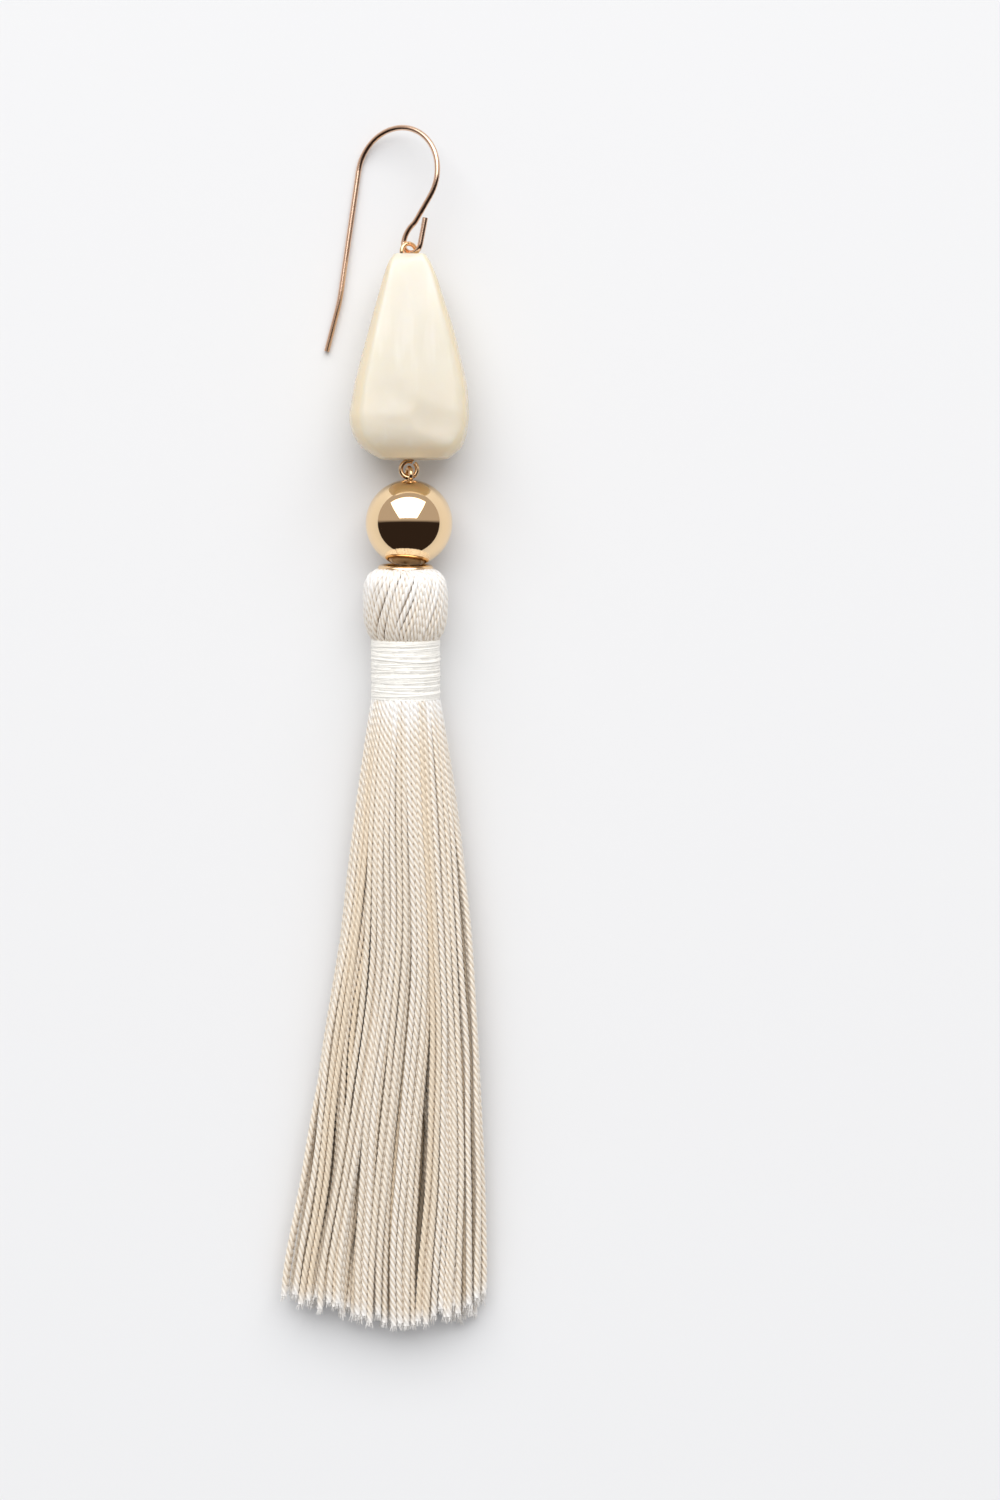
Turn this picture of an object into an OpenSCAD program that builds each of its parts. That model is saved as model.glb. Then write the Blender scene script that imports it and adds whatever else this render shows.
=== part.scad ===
// Tassel drop earring, lying on a table: ear wire, drilled stone, hollow ball and corded tassel.
// The hook points along +Y, the tassel along -Y, and the table is the plane z = 0.
// Everything is worked out in the chain's own frame, with the ball's centre over x = y = 0,
// and is moved once, at the end, so that the origin is the middle of the earring's footprint.

/* [Ear hook] */
// Thickness of the ear wire
hook_wire_d = 0.64; // [0.5:0.02:0.8]
// Straight stretch at the tip, where a stopper slides on
hook_tip_l = 5; // [3:0.5:7]
// Radius of the slight outward bend above the tip
hook_flare_r = 17; // [10:1:30]
// Angle of the outward bend
hook_flare_angle = 7.5; // [4:0.5:12]
// Straight leg between the outward bend and the arch
hook_leg_l = 14; // [10:0.5:18]
// Radius of the arch that the ear lobe carries
hook_arch_r = 5.4; // [4.5:0.1:6.5]
// Turn of the arch, from the leg over the top to the shank
hook_arch_turn = 206; // [195:1:210]
// Straight shank between the arch and the eye
hook_shank_l = 3.2; // [2.5:0.1:4.5]
// Radius of the small turn out at the top of the eye
hook_crook_r = 2; // [1.5:0.1:3]
// Turn out at the top of the eye
hook_crook_turn = 18; // [10:1:22]
// Radius of the eye's long side
hook_side_r = 3.2; // [2.5:0.1:5]
// Turn of the eye's long side
hook_side_turn = 42; // [38:1:46]
// Radius of the eye's round end
hook_eye_r = 1.15; // [1.05:0.05:1.4]
// Turn of the eye's round end
hook_eye_turn = 179; // [170:1:185]
// Straight end of the wire, back up beside the shank
hook_end_l = 3.1; // [1.5:0.1:3.3]
// Sideways swing of the hook where it lies, seen from above
hook_swing = 10; // [5:0.5:14]

/* [Stone] */
// Length of the stone
stone_l = 23.4; // [18:0.2:28]
// Greatest width of the stone
stone_w = 13.9; // [11:0.1:17]
// Greatest thickness of the stone as it lies
stone_t = 9.6; // [8.5:0.1:11]
// Bore through the stone
stone_bore_d = 1; // [0.8:0.05:1.2]
// Width of the drilled mouth in which the upper eye sits
stone_mouth_d = 3.2; // [3:0.1:3.4]
// Depth to which the upper eye is sunk in that mouth
eye_sink = 0.85; // [0.5:0.05:1.1]

/* [Link wires] */
// Thickness of the wires through the stone and the ball
pin_wire_d = 0.52; // [0.44:0.02:0.56]
// Outside diameter of both eyes on the stone's wire
stone_eye_d = 2.4; // [2.3:0.05:2.7]
// Outside diameter of the eye on the ball's wire
ball_eye_d = 2.2; // [2.1:0.05:2.5]
// Opening left in each eye, as an angle
eye_opening = 14; // [8:1:24]
// Roll of the ball's eye out of the upright
ball_eye_roll = 18; // [0:1:30]
// Roll of the upper eye out of the level, its right side down
top_eye_roll = 30; // [25:1:40]
// Sideways reach of the hook's eye from the upper eye of the stone's wire
hook_reach = 0.35; // [0.2:0.05:0.5]
// Reach of the hook's eye beyond that upper eye, along the chain
hook_rise = 1; // [0.9:0.02:1.1]
// Diameter of the flat head at the hidden end of the ball's wire
pin_head_d = 1.7; // [1.4:0.1:2]
// Thickness of that flat head
pin_head_t = 0.5; // [0.4:0.05:0.8]
// Air between pieces that touch on the real one
fit_gap = 0.05; // [0.03:0.01:0.08]

/* [Ball bead] */
// Outside diameter of the hollow ball
ball_d = 10; // [9:0.1:11]
// Wall of the ball
ball_wall = 0.4; // [0.3:0.05:0.6]
// Diameter of the ball's two holes
ball_hole_d = 1.9; // [1.6:0.05:2]

/* [Collar ring] */
// Outside diameter of the ring
ring_d = 6.4; // [5.6:0.1:7]
// Thickness of the ring's wire
ring_wire_d = 0.85; // [0.7:0.05:1]
// Air on both sides of the ring, to the ball and to the tassel's head
ring_gap = 0.15; // [0.1:0.05:0.4]

/* [Tassel] */
// How far the tassel lies to the left of the ball's line
tassel_offset = 0.4; // [0:0.1:0.8]
// Rise of the tassel's head from the table towards the ball, as an angle
tassel_rise = 6.5; // [3:0.5:8]
// Length of the head
head_l = 7.9; // [6:0.1:10]
// Diameter of the head
head_d = 9.8; // [8.8:0.1:11]
// Number of cords that show round the head
head_cords = 22; // [16:1:28]
// Depth of the grooves between those cords
head_groove = 0.22; // [0.1:0.02:0.3]
// Slant of the head's cords, as a twist from its top to its foot
head_twist = 35; // [10:5:60]
// Length of the wound binding
binding_l = 7.05; // [5:0.05:10]
// Outside diameter of the binding
binding_d = 8.1; // [7.4:0.1:8.6]
// Thickness of the wound thread, all layers together
binding_t = 0.8; // [0.5:0.05:1.1]
// Ridges that show along the binding
binding_ridges = 12; // [6:1:16]
// Length of the skirt below the binding
skirt_l = 72.2; // [50:0.5:90]
// Width of the skirt at its cut end
skirt_w = 23.6; // [18:0.2:30]
// Locks round the outside of the skirt
skirt_locks = 24; // [18:2:30]
// Thickness of a lock at the neck
lock_t_neck = 1.3; // [1:0.1:1.6]
// Thickness of a lock at the cut end
lock_t_end = 2; // [1.6:0.1:2.2]
// How much shorter the cut is at the sides than in the middle
cut_arc = 4; // [0:0.5:7]
// Unevenness of the cut
cut_rag = 0.5; // [0:0.1:1]

/* [Hidden] */
$fn = 48;

gold = [0.83, 0.66, 0.43];
pin_gold = [0.72, 0.53, 0.33];
stone_cream = [0.95, 0.93, 0.86];
cord_cream = [0.88, 0.83, 0.77];
thread_white = [0.96, 0.95, 0.92];

// The chain's line runs through the ball's centre, level with the table.
ball_r = ball_d / 2;
chain_z = ball_r;

// Directions in which the eyes' openings lie: the stone's lower and upper eye, the ball's eye.
low_opening_at = 55;
top_opening_at = 200;
ball_opening_at = 125;

// How far a cutter runs on past the face it opens.
cut_past = pin_wire_d * 2;

// The ball's eye stands in the mouth of the ball's upper hole.
stone_eye_r = (stone_eye_d - pin_wire_d) / 2;
ball_eye_r = (ball_eye_d - pin_wire_d) / 2;
ball_mouth_y = sqrt(pow(ball_r, 2) - pow(ball_hole_d / 2, 2));
ball_eye_y = ball_mouth_y + sqrt(pow(ball_eye_d, 2) - pow(ball_hole_d, 2)) / 2 + fit_gap;

// The stone's lower eye hangs in the ball's eye, and the stone ends just above it.
low_eye_y = ball_eye_y + stone_eye_r - (ball_eye_r - pin_wire_d - fit_gap);
stone_low_y = low_eye_y + stone_eye_d / 2 + fit_gap;
stone_top_y = stone_low_y + stone_l;
top_eye_y = stone_top_y + stone_eye_d / 2 - eye_sink;

// The ring lies square to the tassel, so it leans and lies off the ball's line. It is set back
// until its wire clears the ball by the ring gap where it comes nearest, low on its right.
ring_r = (ring_d - ring_wire_d) / 2;
ring_reach = ball_r + ring_wire_d / 2 + ring_gap;
ring_nearest = ring_r * pow(sin(tassel_rise), 2) + sin(tassel_rise)
    * sqrt(pow(ring_reach, 2) - pow(ring_r * cos(tassel_rise), 2)
        + pow(tassel_offset / tan(tassel_rise), 2));
ring_y = -sqrt(pow(ring_nearest, 2) - pow(tassel_offset, 2)) / sin(tassel_rise);

// The tassel's axis rises from the lower end of the binding, which lies on the table. The bundle
// under the binding starts inside the head, at a share of its length.
neck_from = 0.9;
head_r = head_d / 2;
binding_r = binding_d / 2;
neck_r = binding_r - binding_t - fit_gap;
neck_l = head_l + binding_l + 2 * fit_gap;
head_top_z = binding_r * cos(tassel_rise) + neck_l * sin(tassel_rise);
head_top_y = ring_y - (ring_wire_d / 2 + ring_gap) / cos(tassel_rise)
    - abs(head_top_z - chain_z) * tan(tassel_rise);
skirt_y = head_top_y - neck_l * cos(tassel_rise);
skirt_z = binding_r * cos(tassel_rise);

// Ring by ring down the head: share of its length from the top, share of its radius.
HEAD_AT = 0;
HEAD_R = 1;
head_rows = [
    [0.00, 0.66],
    [0.03, 0.80],
    [0.10, 0.92],
    [0.20, 0.975],
    [0.36, 1.00],
    [0.56, 1.00],
    [0.74, 0.98],
    [0.87, 0.93],
    [0.96, 0.86],
    [1.00, 0.80]];

// Down the skirt: share of its length, reach to the left and right as shares of its width,
// height over the table as a share of the neck's height, squareness of the section, and how
// far the locks are laid out side by side.
SKIRT_LEFT = 1;
SKIRT_RIGHT = 2;
SKIRT_HEIGHT = 3;
SKIRT_SQUARE = 4;
SKIRT_SPREAD = 5;
skirt_rows = [
    [0.00, 0.168, 0.168, 1.00, 2.0, 0.0],
    [0.09, 0.208, 0.215, 0.98, 2.1, 0.2],
    [0.22, 0.264, 0.270, 0.92, 2.3, 0.5],
    [0.38, 0.320, 0.325, 0.83, 2.5, 0.8],
    [0.57, 0.412, 0.357, 0.73, 2.8, 1.0],
    [0.76, 0.506, 0.380, 0.64, 3.0, 1.0],
    [0.92, 0.602, 0.388, 0.57, 3.2, 1.0],
    [1.00, 0.612, 0.388, 0.54, 3.2, 1.0]];

// Down the stone: share of its length from the top, reach to the left and right as shares of
// half its width, and the heights of its underside and its table as shares of its thickness.
STONE_AT = 0;
STONE_LEFT = 1;
STONE_RIGHT = 2;
STONE_UNDER = 3;
STONE_TABLE = 4;
stone_rows = [
    [0.000, 0.26, 0.28, 0.32, 0.71],
    [0.035, 0.35, 0.36, 0.16, 0.78],
    [0.110, 0.43, 0.47, 0.06, 0.82],
    [0.220, 0.53, 0.59, 0.02, 0.845],
    [0.360, 0.67, 0.74, 0.00, 0.88],
    [0.500, 0.79, 0.86, 0.00, 0.915],
    [0.650, 0.92, 0.97, 0.00, 0.95],
    [0.800, 1.00, 1.00, 0.00, 0.985],
    [0.890, 0.93, 0.96, 0.03, 0.98],
    [0.960, 0.77, 0.86, 0.12, 0.91],
    [1.000, 0.50, 0.66, 0.28, 0.78]];

// Corners of the stone's section: share of the reach to that side, and share of the height
// between underside and table. The first and last are the edges of the table.
stone_corners = [
    [0.80, 1.00],
    [0.96, 0.84],
    [1.00, 0.56],
    [0.96, 0.26],
    [0.72, 0.00],
    [-0.72, 0.00],
    [-0.96, 0.26],
    [-1.00, 0.56],
    [-0.96, 0.84],
    [-0.80, 1.00]];

// The ear wire as a path from its tip: a length and no turn is straight, a radius and a turn
// is an arc, to the right where the turn is positive.
SIZE = 0;
TURN = 1;
hook_path = [
    [hook_tip_l, 0],
    [hook_flare_r, -hook_flare_angle],
    [hook_leg_l, 0],
    [hook_arch_r, hook_arch_turn],
    [hook_shank_l, 0],
    [hook_crook_r, hook_crook_turn],
    [hook_side_r, -hook_side_turn],
    [hook_eye_r, -hook_eye_turn],
    [hook_end_l, 0]];
HOOK_ARCH = 3;
HOOK_EYE = 7;

// A place on the path is x, y and the heading, clockwise from +Y.
function arc_centre(at, row) =
    let (side = sign(row[TURN]))
    [at.x + side * row[SIZE] * cos(at.z), at.y - side * row[SIZE] * sin(at.z)];

function after(at, row) =
    row[TURN] == 0
    ? [at.x + row[SIZE] * sin(at.z), at.y + row[SIZE] * cos(at.z), at.z]
    : let (
        centre = arc_centre(at, row),
        side = sign(row[TURN]),
        heading = at.z + row[TURN])
      [centre.x - side * row[SIZE] * cos(heading),
       centre.y + side * row[SIZE] * sin(heading),
       heading];

function places(path, at, i = 0) =
    i == len(path) ? [] : concat([at], places(path, after(at, path[i]), i + 1));

hook_places = places(hook_path, [0, 0, hook_flare_angle]);
arch_at = arc_centre(hook_places[HOOK_ARCH], hook_path[HOOK_ARCH]);
eye_at = arc_centre(hook_places[HOOK_EYE], hook_path[HOOK_EYE]);

// The hook lies on its tip and on the outside of its arch: hook_lean is the slope of the line
// through both. Its eye is held up at the chain's height, which tilts its plane about that line.
hook_lean = atan2(arch_at.x, arch_at.y) - asin(hook_arch_r / norm(arch_at));
eye_across = eye_at.x * cos(hook_lean) - eye_at.y * sin(hook_lean);
eye_along = eye_at.x * sin(hook_lean) + eye_at.y * cos(hook_lean);
hook_tilt = asin((chain_z - hook_wire_d / 2) / eye_across);
arch_across = arch_at.x * cos(hook_lean) - arch_at.y * sin(hook_lean);
arch_along = arch_at.x * sin(hook_lean) + arch_at.y * cos(hook_lean);

// Where a point of the hook's own plane comes to lie, seen from above.
function laid_hook(across, along) =
    [across * cos(hook_tilt) * cos(hook_swing) + along * sin(hook_swing),
     along * cos(hook_swing) - across * cos(hook_tilt) * sin(hook_swing)];

hook_from = [hook_reach, top_eye_y + hook_rise] - laid_hook(eye_across, eye_along);
arch_reach = hook_arch_r * norm([cos(hook_tilt) * sin(hook_swing), cos(hook_swing)]);

// The wire's stretches meet end to end, and a hair-thin sleeve fuses each pair of them.
joint_swell = 1.02;
joint_reach = hook_wire_d / 10;

// Footprint of the whole earring, whose middle is the origin.
foot_top = hook_from.y + laid_hook(arch_across, arch_along).y + arch_reach + hook_wire_d / 2;
foot_low = skirt_y - skirt_l;
foot_left = -tassel_offset - skirt_w * skirt_rows[len(skirt_rows) - 1][SKIRT_LEFT];
foot_right = -tassel_offset + skirt_w * skirt_rows[len(skirt_rows) - 1][SKIRT_RIGHT];

// A value from a table's column, straight between its rows.
function from_rows(rows, column, at, i = 0) =
    i >= len(rows) - 2 || at <= rows[i + 1][0]
    ? rows[i][column] + (rows[i + 1][column] - rows[i][column])
        * (at - rows[i][0]) / (rows[i + 1][0] - rows[i][0])
    : from_rows(rows, column, at, i + 1);

// Triangles between rings of equal count, with a flat cap at each end.
function loft_faces(rings, sides) = concat(
    [for (i = [0:rings - 2], j = [0:sides - 1])
        [i * sides + j, i * sides + (j + 1) % sides, (i + 1) * sides + (j + 1) % sides]],
    [for (i = [0:rings - 2], j = [0:sides - 1])
        [i * sides + j, (i + 1) * sides + (j + 1) % sides, (i + 1) * sides + j]],
    [[for (j = [sides - 1:-1:0]) j]],
    [[for (j = [0:sides - 1]) (rings - 1) * sides + j]]);

module loft(rings) {
    polyhedron(
        points = [for (ring = rings) each ring],
        faces = loft_faces(len(rings), len(rings[0])),
        convexity = 6);
}

// From the chain's frame to the earring's own, with the origin under its middle.
module laid() {
    translate([-(foot_left + foot_right) / 2, -(foot_top + foot_low) / 2, 0])
        children();
}

// From the top of the tassel's head, with its axis along Y, to where the tassel lies.
module tassel_laid() {
    translate([-tassel_offset, head_top_y, head_top_z])
        rotate([tassel_rise, 0, 0])
            children();
}

// A cylinder along +Y from the given height on the Y axis.
module rod(from_y, to_y, d) {
    translate([0, from_y, 0])
        rotate([-90, 0, 0])
            cylinder(d = d, h = to_y - from_y);
}

// An eye bent from wire in the XY plane, with its opening centred on the given direction.
module wire_eye(mid_r, wire_d, opening_at) {
    rotate([0, 0, opening_at + eye_opening / 2])
        rotate_extrude(angle = 360 - eye_opening)
            translate([mid_r, 0])
                circle(d = wire_d);
}

module wire_bend(at, row, wire_d) {
    translate([at.x, at.y, 0])
        rotate([0, 0, -at.z])
            if (row[TURN] == 0)
                rod(0, row[SIZE], wire_d);
            else
                translate([sign(row[TURN]) * row[SIZE], 0, 0])
                    rotate([0, 0, row[TURN] > 0 ? 180 - row[TURN] : 0])
                        rotate_extrude(angle = abs(row[TURN]))
                            translate([row[SIZE], 0])
                                circle(d = wire_d);
}

module wire_joint(at, wire_d) {
    translate([at.x, at.y, 0])
        rotate([0, 0, -at.z])
            rod(-joint_reach, joint_reach, wire_d * joint_swell);
}

module ear_hook() {
    color(gold)
        laid()
            translate([hook_from.x, hook_from.y, hook_wire_d / 2])
                rotate([0, 0, -hook_swing])
                    rotate([0, -hook_tilt, 0])
                        rotate([0, 0, hook_lean])
                            for (i = [0:len(hook_path) - 1]) {
                                wire_bend(hook_places[i], hook_path[i], hook_wire_d);
                                if (i > 0)
                                    wire_joint(hook_places[i], hook_wire_d);
                            }
}

module stone_wire() {
    color(pin_gold)
        laid()
            translate([0, 0, chain_z]) {
                translate([0, low_eye_y, 0])
                    wire_eye(stone_eye_r, pin_wire_d, low_opening_at);
                rod(low_eye_y + stone_eye_r, top_eye_y - stone_eye_r, pin_wire_d);
                translate([0, top_eye_y, 0])
                    rotate([0, top_eye_roll, 0])
                        wire_eye(stone_eye_r, pin_wire_d, top_opening_at);
            }
}

// One section of the stone, from its row of the table.
function stone_ring(row) =
    let (
        y = stone_top_y - row[STONE_AT] * stone_l,
        under = row[STONE_UNDER] * stone_t,
        table = row[STONE_TABLE] * stone_t)
    [for (corner = stone_corners)
        [corner.x * stone_w / 2 * (corner.x > 0 ? row[STONE_RIGHT] : row[STONE_LEFT]),
         y,
         under + corner.y * (table - under)]];

module stone() {
    color(stone_cream)
        laid()
            difference() {
                loft([for (row = stone_rows) stone_ring(row)]);
                translate([0, 0, chain_z]) {
                    rod(stone_low_y - cut_past, stone_top_y + cut_past, stone_bore_d);
                    rod(stone_top_y - eye_sink - 2 * fit_gap, stone_top_y + cut_past,
                        stone_mouth_d);
                }
            }
}

module ball_wire() {
    head_y = head_top_y - head_l / 2;
    color(pin_gold)
        laid()
            translate([0, 0, chain_z]) {
                translate([0, ball_eye_y, 0])
                    rotate([0, ball_eye_roll - 90, 0])
                        wire_eye(ball_eye_r, pin_wire_d, ball_opening_at);
                rod(head_y, ball_eye_y - ball_eye_r, pin_wire_d);
                rod(head_y - pin_head_t, head_y + fit_gap, pin_head_d);
            }
}

module ball_bead() {
    color(gold)
        laid()
            translate([0, 0, chain_z])
                difference() {
                    sphere(r = ball_r);
                    sphere(r = ball_r - ball_wall);
                    rod(-ball_d, ball_d, ball_hole_d);
                }
}

module collar_ring() {
    color(gold)
        laid()
            translate([-tassel_offset, ring_y, chain_z])
                rotate([90 + tassel_rise, 0, 0])
                    rotate_extrude()
                        translate([ring_r, 0])
                            circle(d = ring_wire_d);
}

// The binding's ridges are round, and overlap each other and the layer under them a little.
ridge_swell = 0.55;

module neck_binding() {
    pitch = binding_l / binding_ridges;
    ridge_r = pitch * ridge_swell;
    inner_r = binding_r - binding_t;
    color(thread_white)
        laid()
            tassel_laid()
                rotate([90, 0, 0])
                    translate([0, 0, head_l + fit_gap])
                        rotate_extrude()
                            intersection() {
                                union() {
                                    translate([inner_r, 0])
                                        square([binding_t - ridge_r * ridge_swell, binding_l]);
                                    for (i = [0:binding_ridges - 1])
                                        translate([binding_r - ridge_r, (i + 0.5) * pitch])
                                            circle(r = ridge_r);
                                }
                                translate([inner_r, 0])
                                    square([binding_t, binding_l]);
                            }
}

// One ring of the head: two corners for each cord, on its ridge and in the groove beside it.
function head_ring(row) =
    let (step = 180 / head_cords)
    [for (j = [0:2 * head_cords - 1])
        let (
            r = head_r * row[HEAD_R] - (j % 2) * head_groove,
            a = head_twist * row[HEAD_AT] - j * step)
        [r * cos(a), -row[HEAD_AT] * head_l, r * sin(a)]];

// The skirt's sections stand upright, but its uppermost ones lean back to meet the binding.
skirt_upright = 0.17;

function skirt_plane(at, z) =
    skirt_y - at * skirt_l - (z - skirt_z) * max(0, 1 - at / skirt_upright) * tan(tassel_rise);

// The skirt's outline at a share of its length, in a direction seen from its middle, drawn in
// by a depth. Round at the neck, the outline becomes broad and flat, with even steps across.
function skirt_point(at, direction, depth) =
    let (
        spread = from_rows(skirt_rows, SKIRT_SPREAD, at),
        square = from_rows(skirt_rows, SKIRT_SQUARE, at),
        high = from_rows(skirt_rows, SKIRT_HEIGHT, at) * skirt_z,
        even = 1 - abs(180 - abs(180 - direction % 360)) / 90,
        across = spread * even + (1 - spread) * cos(direction),
        up = pow(max(0, 1 - pow(abs(across), square)), 1 / square) * sign(sin(direction)),
        reach = from_rows(skirt_rows, across > 0 ? SKIRT_RIGHT : SKIRT_LEFT, at),
        z = high + up * (high - depth))
    [-tassel_offset + across * (reach * skirt_w - depth), skirt_plane(at, z), z];

lock_step = 360 / skirt_locks;
lock_sides = 6;
lock_rings = 8;
lock_overlap = 0.63;
lock_from = 0.01;
lock_point = 0.7;
lock_tip_l = lock_t_end / 3;

function lock_depth(at) = (lock_t_neck + (lock_t_end - lock_t_neck) * at) / 2;

// How far down a lock ends: the cut is an arc, longest a little left of the middle, and uneven.
cut_left = 0.15;
cut_waves = 7;

function lock_end(direction) =
    let (off_middle = 1 - abs(180 - abs(180 - direction)) / 90 + cut_left)
    1 - (cut_arc * pow(off_middle, 2) + cut_rag * (1 + sin(direction * cut_waves))) / skirt_l;

// One ring of a lock: a flat-sided bead, a little wider than its share of the outline, and
// drawn together by a scale at both ends.
function lock_ring(direction, at, scale) =
    let (
        depth = lock_depth(at),
        middle = skirt_point(at, direction, depth),
        one = skirt_point(at, direction + 360 - lock_step / 2, depth),
        other = skirt_point(at, direction + lock_step / 2, depth),
        half = scale * lock_overlap * [other.x - one.x, other.z - one.z],
        out = scale * depth / sin(60) * [half.y, -half.x] / norm(half))
    [for (j = [0:lock_sides - 1])
        let (
            x = middle.x + cos(j * 60) * half.x + sin(j * 60) * out.x,
            z = middle.z + cos(j * 60) * half.y + sin(j * 60) * out.y)
        [x, skirt_plane(at, z), z]];

// A lock comes out of the bundle below the binding and ends in a blunt cut tip. The rings of
// every second lock lie halfway between those of its neighbours.
module lock(i) {
    direction = (i + 0.5) * lock_step;
    end = lock_end(direction);
    tip_from = end - lock_tip_l / skirt_l;
    shift = i % 2 / 2;
    loft(concat(
        [lock_ring(direction, lock_from, lock_point)],
        [for (j = [1:lock_rings - 1])
            lock_ring(direction, tip_from * (j - shift) / lock_rings, 1)],
        [lock_ring(direction, tip_from, 1)],
        [lock_ring(direction, end, lock_point)]));
}

// The bundle inside the locks: share of the skirt's length, and how deep it lies as a share of
// the locks' middles. At the binding it is full, and the locks start inside it.
core_sides = 24;
core_rows = [
    [0.00, 0.10],
    [0.03, 0.35],
    [0.09, 1.00],
    [0.22, 1.10],
    [0.38, 1.10],
    [0.57, 1.10],
    [0.76, 1.10],
    [0.90, 1.20]];

module skirt_core() {
    loft([for (row = core_rows)
        [for (j = [0:core_sides - 1])
            skirt_point(row[0], 360 - j * 360 / core_sides, row[1] * lock_depth(row[0]))]]);
}

module tassel_cords() {
    pocket_y = head_top_y - head_l / 2 - pin_head_t - fit_gap;
    color(cord_cream)
        laid()
            difference() {
                union() {
                    tassel_laid() {
                        loft([for (row = head_rows) head_ring(row)]);
                        rod(-neck_l - lock_t_neck / 2, -neck_from * head_l, 2 * neck_r);
                    }
                    skirt_core();
                    for (i = [0:skirt_locks - 1])
                        lock(i);
                }
                translate([0, 0, chain_z]) {
                    rod(pocket_y, head_top_y + cut_past, pin_wire_d + 4 * fit_gap);
                    rod(pocket_y, pocket_y + pin_head_t + 3 * fit_gap, pin_head_d + 2 * fit_gap);
                }
            }
}

ear_hook();
stone_wire();
stone();
ball_wire();
ball_bead();
collar_ring();
tassel_cords();
neck_binding();
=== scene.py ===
import math

import bpy
import numpy as np
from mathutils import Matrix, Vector


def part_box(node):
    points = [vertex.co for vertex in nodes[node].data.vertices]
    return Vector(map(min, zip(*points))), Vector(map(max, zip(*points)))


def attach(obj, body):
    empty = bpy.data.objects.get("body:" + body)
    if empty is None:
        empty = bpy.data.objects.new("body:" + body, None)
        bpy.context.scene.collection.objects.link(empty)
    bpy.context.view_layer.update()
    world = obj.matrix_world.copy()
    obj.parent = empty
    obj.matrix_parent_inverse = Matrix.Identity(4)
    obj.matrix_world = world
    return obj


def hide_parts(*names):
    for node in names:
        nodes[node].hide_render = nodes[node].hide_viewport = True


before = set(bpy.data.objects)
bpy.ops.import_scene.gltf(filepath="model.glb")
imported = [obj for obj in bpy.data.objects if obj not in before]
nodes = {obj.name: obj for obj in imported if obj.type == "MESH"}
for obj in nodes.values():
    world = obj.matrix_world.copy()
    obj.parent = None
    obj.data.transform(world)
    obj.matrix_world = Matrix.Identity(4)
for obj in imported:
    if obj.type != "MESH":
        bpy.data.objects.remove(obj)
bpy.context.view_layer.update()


# Ear wire: round gold-filled wire, bent round pegs into a long leg, a high arch and a teardrop
# eye, then polished. Its tip and arch touch the table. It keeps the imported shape.
def new_material(name, base, roughness, metallic=0.0):
    """A Principled material with plain values, and its node tree and shader."""
    material = bpy.data.materials.new(name)
    material.use_nodes = True
    tree = material.node_tree
    shader = tree.nodes["Principled BSDF"]
    shader.inputs["Base Color"].default_value = (*base, 1)
    shader.inputs["Roughness"].default_value = roughness
    shader.inputs["Metallic"].default_value = metallic
    return material, tree, shader


def add(tree, kind, **values):
    """A node of that kind, with its own settings and its sockets' values given by name."""
    node = tree.nodes.new(kind)
    for key, value in values.items():
        if hasattr(node, key):
            setattr(node, key, value)
        else:
            node.inputs[key.replace("_", " ")].default_value = value
    return node


def surface_noise_group():
    """A shader group that every finish places: uneven heights fixed to the piece."""
    group = bpy.data.node_groups.new("surface_noise", "ShaderNodeTree")
    sizes = ("Scale", "Detail", "Roughness")
    for name in sizes:
        group.interface.new_socket(name, in_out="INPUT", socket_type="NodeSocketFloat")
    group.interface.new_socket("Height", in_out="OUTPUT", socket_type="NodeSocketFloat")
    source, sink = group.nodes.new("NodeGroupInput"), group.nodes.new("NodeGroupOutput")
    place = group.nodes.new("ShaderNodeTexCoord")
    noise = group.nodes.new("ShaderNodeTexNoise")
    group.links.new(place.outputs["Object"], noise.inputs["Vector"])
    for name in sizes:
        group.links.new(source.outputs[name], noise.inputs[name])
    group.links.new(noise.outputs["Fac"], sink.inputs["Height"])
    return group


def surface_noise(tree, scale, detail=2.0, roughness=0.5):
    """The surface noise placed in a material, with scale in bumps per metre."""
    placed = tree.nodes.new("ShaderNodeGroup")
    placed.node_tree = noise_group
    for name, value in (("Scale", scale), ("Detail", detail), ("Roughness", roughness)):
        placed.inputs[name].default_value = value
    return placed.outputs["Height"]


def bump(tree, shader, height, strength, distance):
    """Raises a finish by the heights, with distance in metres."""
    node = add(tree, "ShaderNodeBump", Strength=strength, Distance=distance)
    tree.links.new(height, node.inputs["Height"])
    tree.links.new(node.outputs["Normal"], shader.inputs["Normal"])


def paint(obj, material):
    """Gives a piece one material, in place of what it has."""
    obj.data.materials.clear()
    obj.data.materials.append(material)


noise_group = surface_noise_group()
wire_gold, tree, shader = new_material("wire_gold", (0.80, 0.56, 0.41), 0.16, 1.0)
bump(tree, shader, surface_noise(tree, 900, 3), 0.12, 0.00004)
paint(nodes["ear_hook"], wire_gold)


# Link wires: softer round wire, one through the stone and one through the ball, each end turned
# into an eye with pliers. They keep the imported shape.
link_gold, tree, shader = new_material("link_gold", (0.86, 0.60, 0.35), 0.2, 1.0)
bump(tree, shader, surface_noise(tree, 1400, 3), 0.15, 0.00004)
paint(nodes["stone_wire"], link_gold)
paint(nodes["ball_wire"], link_gold)


# Stone: a milky mineral, cut to a pear with a broad flat front and softly bevelled sides, tumbled
# until its edges are round, and drilled from end to end with a wider mouth at its narrow end.
MM = 0.001
STONE_THICK = 9.6
BORE_Z = 5.0
BORE_R = 0.5
MOUTH_R = 1.6
MOUTH_DEPTH = 0.95
END_DOME = 0.18
UNEVEN = 0.035
STONE_TURNS = 192
STONE_RINGS = 181
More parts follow.
